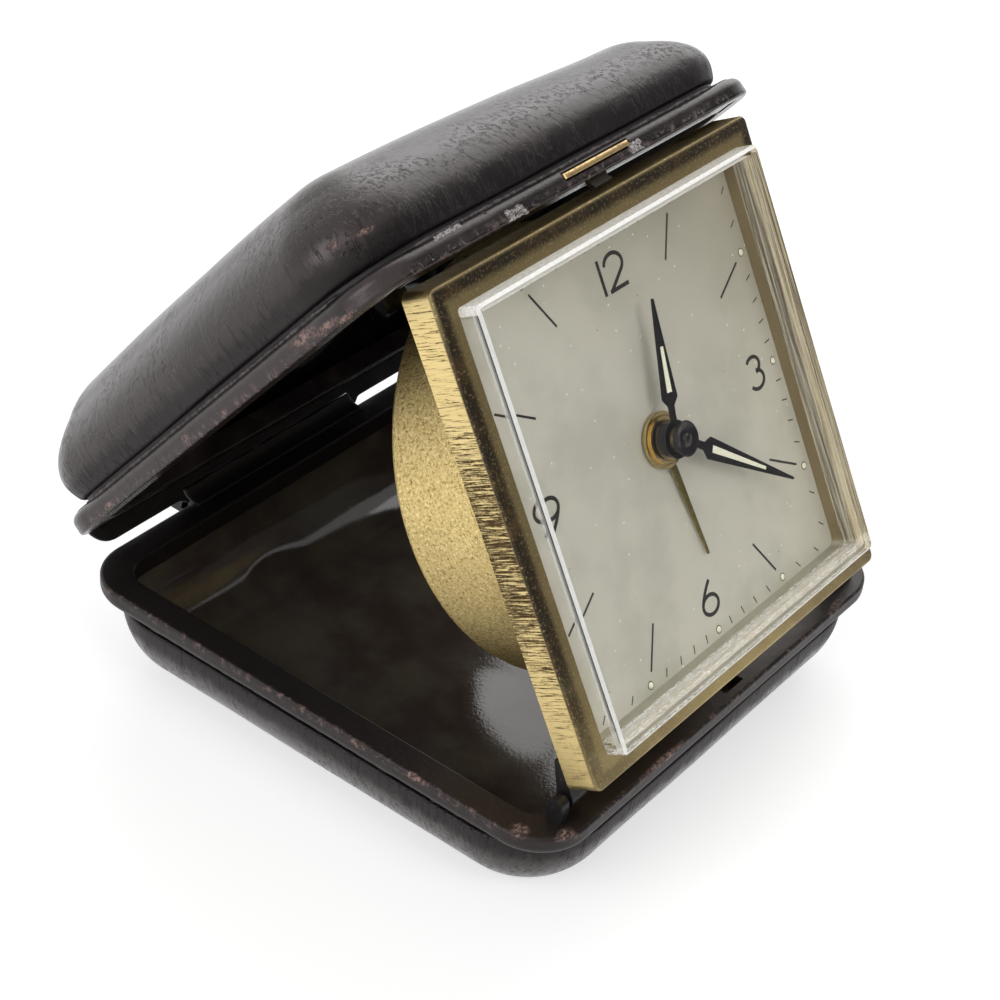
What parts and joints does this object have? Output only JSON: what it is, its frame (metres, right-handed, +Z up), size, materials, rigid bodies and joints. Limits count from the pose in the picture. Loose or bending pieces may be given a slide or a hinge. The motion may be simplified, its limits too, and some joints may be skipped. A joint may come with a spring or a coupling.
{
  "type": "folding travel alarm clock",
  "caption": "Wind-up travel alarm clock: a square brass clock with a raised crystal, standing in an open leather covered clamshell case that it folds into.",
  "frame": {"origin": "centre of the flat face that the lower half rests on", "axes": "+Z up, +X to the right of someone facing the dial, +Y back towards the case hinge"},
  "size_m": [0.0756, 0.0876, 0.0814],
  "materials": {
    "leather": "semi-gloss",
    "pan_steel": "satin",
    "liner": "gloss",
    "blackened_steel": "satin",
    "case_brass": "aged",
    "movement_brass": "satin",
    "steel": "satin",
    "crystal": "clear",
    "dial_silver": "satin",
    "hand_black": "satin"
  },
  "bodies": {
    "base": {"base_leather": "leather", "base_pan": "pan_steel", "base_liner": "liner", "base_rim": "leather", "strike_plate": "case_brass", "base_hinge_leaf": "blackened_steel", "base_hinge_rivets": "blackened_steel", "hinge_pin": "blackened_steel", "pivot_bracket_left": "blackened_steel", "pivot_bracket_right": "blackened_steel"},
    "lid": {"lid_leather": "leather", "lid_pan": "pan_steel", "lid_liner": "liner", "lid_rim": "leather", "catch_spring": "steel", "lid_hinge_leaf": "blackened_steel", "lid_hinge_rivets": "blackened_steel"},
    "catch": {"catch_bar": "case_brass"},
    "clock": {"bezel_frame": "case_brass", "crystal": "crystal", "dial": "dial_silver", "rear_plate": "movement_brass", "movement_can": "case_brass", "can_screws": "steel", "pivot_lug_left": "blackened_steel", "pivot_lug_right": "blackened_steel", "pivot_pins": "steel", "front_plate": "movement_brass", "back_plate": "movement_brass", "pillars": "movement_brass", "dial_posts": "movement_brass"},
    "minute": {"minute_hand": "hand_black", "centre_arbor": "steel", "hand_cap": "hand_black", "hand_set_knob": "case_brass"},
    "minute_gear": {"minute_wheel": "movement_brass"},
    "hour": {"hour_hand": "hand_black", "hour_wheel": "movement_brass"},
    "alarm": {"alarm_hand": "case_brass", "alarm_wheel": "movement_brass"},
    "alarm_setting": {"alarm_set_arbor": "steel", "alarm_set_knob": "case_brass"},
    "time_winding": {"time_key_arbor": "steel", "time_winding_key": "case_brass"},
    "alarm_winding": {"alarm_key_arbor": "steel", "alarm_winding_key": "case_brass"},
    "time_power": {"time_barrel": "movement_brass", "time_mainspring": "steel"},
    "alarm_power": {"alarm_barrel": "movement_brass", "alarm_mainspring": "steel"},
    "centre": {"centre_wheel": "movement_brass"},
    "third": {"third_wheel": "movement_brass"},
    "fourth": {"fourth_wheel": "movement_brass"},
    "escape": {"escape_wheel": "movement_brass"},
    "lever": {"pallet_lever": "steel"},
    "balance": {"balance_wheel": "movement_brass", "hairspring": "steel"},
    "hammer": {"alarm_hammer": "movement_brass"},
    "regulator": {"regulator_lever": "movement_brass"},
    "alarm_stop": {"alarm_stop_button": "steel"}
  },
  "joints": [
    {"name": "lid_hinge", "type": "hinge", "parent": "base", "child": "lid", "pos_m": [0, 0.0421, 0.0141], "axis": [-1, 0, 0], "range_deg": [0, 60]},
    {"name": "clock_fold", "type": "hinge", "parent": "base", "child": "clock", "pos_m": [0, -0.03508, 0.0175], "axis": [-1, 0, 0], "range_deg": [0, 61.1]},
    {"name": "catch_press", "type": "slide", "parent": "lid", "child": "catch", "axis": [0, 0.6401, -0.7683], "range_m": [0, 0.0008], "stiffness_N_per_m": 500},
    {"name": "minute_turn", "type": "hinge", "parent": "clock", "child": "minute", "pos_m": [0, -0.01601, 0.04314], "axis": [0, 0.8755, -0.4833], "continuous": true},
    {"name": "minute_gear_turn", "type": "hinge", "parent": "clock", "child": "minute_gear", "pos_m": [-0.00564, -0.017, 0.04135], "axis": [0, 0.8755, -0.4833], "continuous": true},
    {"name": "hour_turn", "type": "hinge", "parent": "clock", "child": "hour", "pos_m": [0, -0.01601, 0.04314], "axis": [0, 0.8755, -0.4833], "continuous": true},
    {"name": "alarm_turn", "type": "hinge", "parent": "clock", "child": "alarm", "pos_m": [0, -0.01601, 0.04314], "axis": [0, 0.8755, -0.4833], "continuous": true},
    {"name": "alarm_setting_turn", "type": "hinge", "parent": "clock", "child": "alarm_setting", "pos_m": [0.01071, -0.01412, 0.04656], "axis": [0, 0.8755, -0.4833], "continuous": true},
    {"name": "time_winding_turn", "type": "hinge", "parent": "clock", "child": "time_winding", "pos_m": [-0.00952, -0.01815, 0.03926], "axis": [0, 0.8755, -0.4833], "continuous": true},
    {"name": "alarm_winding_turn", "type": "hinge", "parent": "clock", "child": "alarm_winding", "pos_m": [0.0112, -0.01852, 0.03859], "axis": [0, 0.8755, -0.4833], "continuous": true},
    {"name": "fourth_turn", "type": "hinge", "parent": "clock", "child": "fourth", "pos_m": [-0.00588, -0.01074, 0.05268], "axis": [0, 0.8755, -0.4833], "continuous": true},
    {"name": "third_turn", "type": "hinge", "parent": "clock", "child": "third", "pos_m": [0.00233, -0.01181, 0.05076], "axis": [0, 0.8755, -0.4833], "continuous": true},
    {"name": "centre_turn", "type": "hinge", "parent": "clock", "child": "centre", "pos_m": [0, -0.01601, 0.04314], "axis": [0, 0.8755, -0.4833], "continuous": true},
    {"name": "time_power_turn", "type": "hinge", "parent": "clock", "child": "time_power", "pos_m": [-0.00952, -0.01815, 0.03926], "axis": [0, 0.8755, -0.4833], "continuous": true},
    {"name": "escape_turn", "type": "hinge", "parent": "clock", "child": "escape", "pos_m": [-0.01314, -0.01136, 0.05156], "axis": [0, 0.8755, -0.4833], "continuous": true},
    {"name": "alarm_power_turn", "type": "hinge", "parent": "clock", "child": "alarm_power", "pos_m": [0.0112, -0.01852, 0.03859], "axis": [0, 0.8755, -0.4833], "continuous": true},
    {"name": "lever_rock", "type": "hinge", "parent": "clock", "child": "lever", "pos_m": [-0.01557, -0.01325, 0.04814], "axis": [0, 0.8755, -0.4833], "range_deg": [-6, 6]},
    {"name": "balance_swing", "type": "hinge", "parent": "clock", "child": "balance", "pos_m": [-0.0182, -0.01528, 0.04446], "axis": [0, 0.8755, -0.4833], "range_deg": [-150, 150], "stiffness_Nm_per_rad": 0.000002},
    {"name": "hammer_rock", "type": "hinge", "parent": "clock", "child": "hammer", "pos_m": [0.0165, -0.0119, 0.05058], "axis": [0, 0.8755, -0.4833], "range_deg": [-6, 6]},
    {"name": "regulator_shift", "type": "hinge", "parent": "clock", "child": "regulator", "pos_m": [-0.0182, -0.01528, 0.04446], "axis": [0, 0.8755, -0.4833], "range_deg": [-12, 12]},
    {"name": "alarm_stop_press", "type": "slide", "parent": "clock", "child": "alarm_stop", "axis": [0, -0.8755, 0.4833], "range_m": [0, 0.001], "stiffness_N_per_m": 300}
  ],
  "couplings": [
    {"joint": "minute_gear_turn", "follows": "minute_turn", "ratio": -0.33333},
    {"joint": "hour_turn", "follows": "minute_turn", "ratio": 0.083333},
    {"joint": "alarm_setting_turn", "follows": "alarm_turn", "ratio": -5.3333},
    {"joint": "third_turn", "follows": "fourth_turn", "ratio": -0.13333},
    {"joint": "centre_turn", "follows": "fourth_turn", "ratio": 0.016667},
    {"joint": "time_power_turn", "follows": "fourth_turn", "ratio": -0.0027778},
    {"joint": "escape_turn", "follows": "fourth_turn", "ratio": -8.5714}
  ]
}
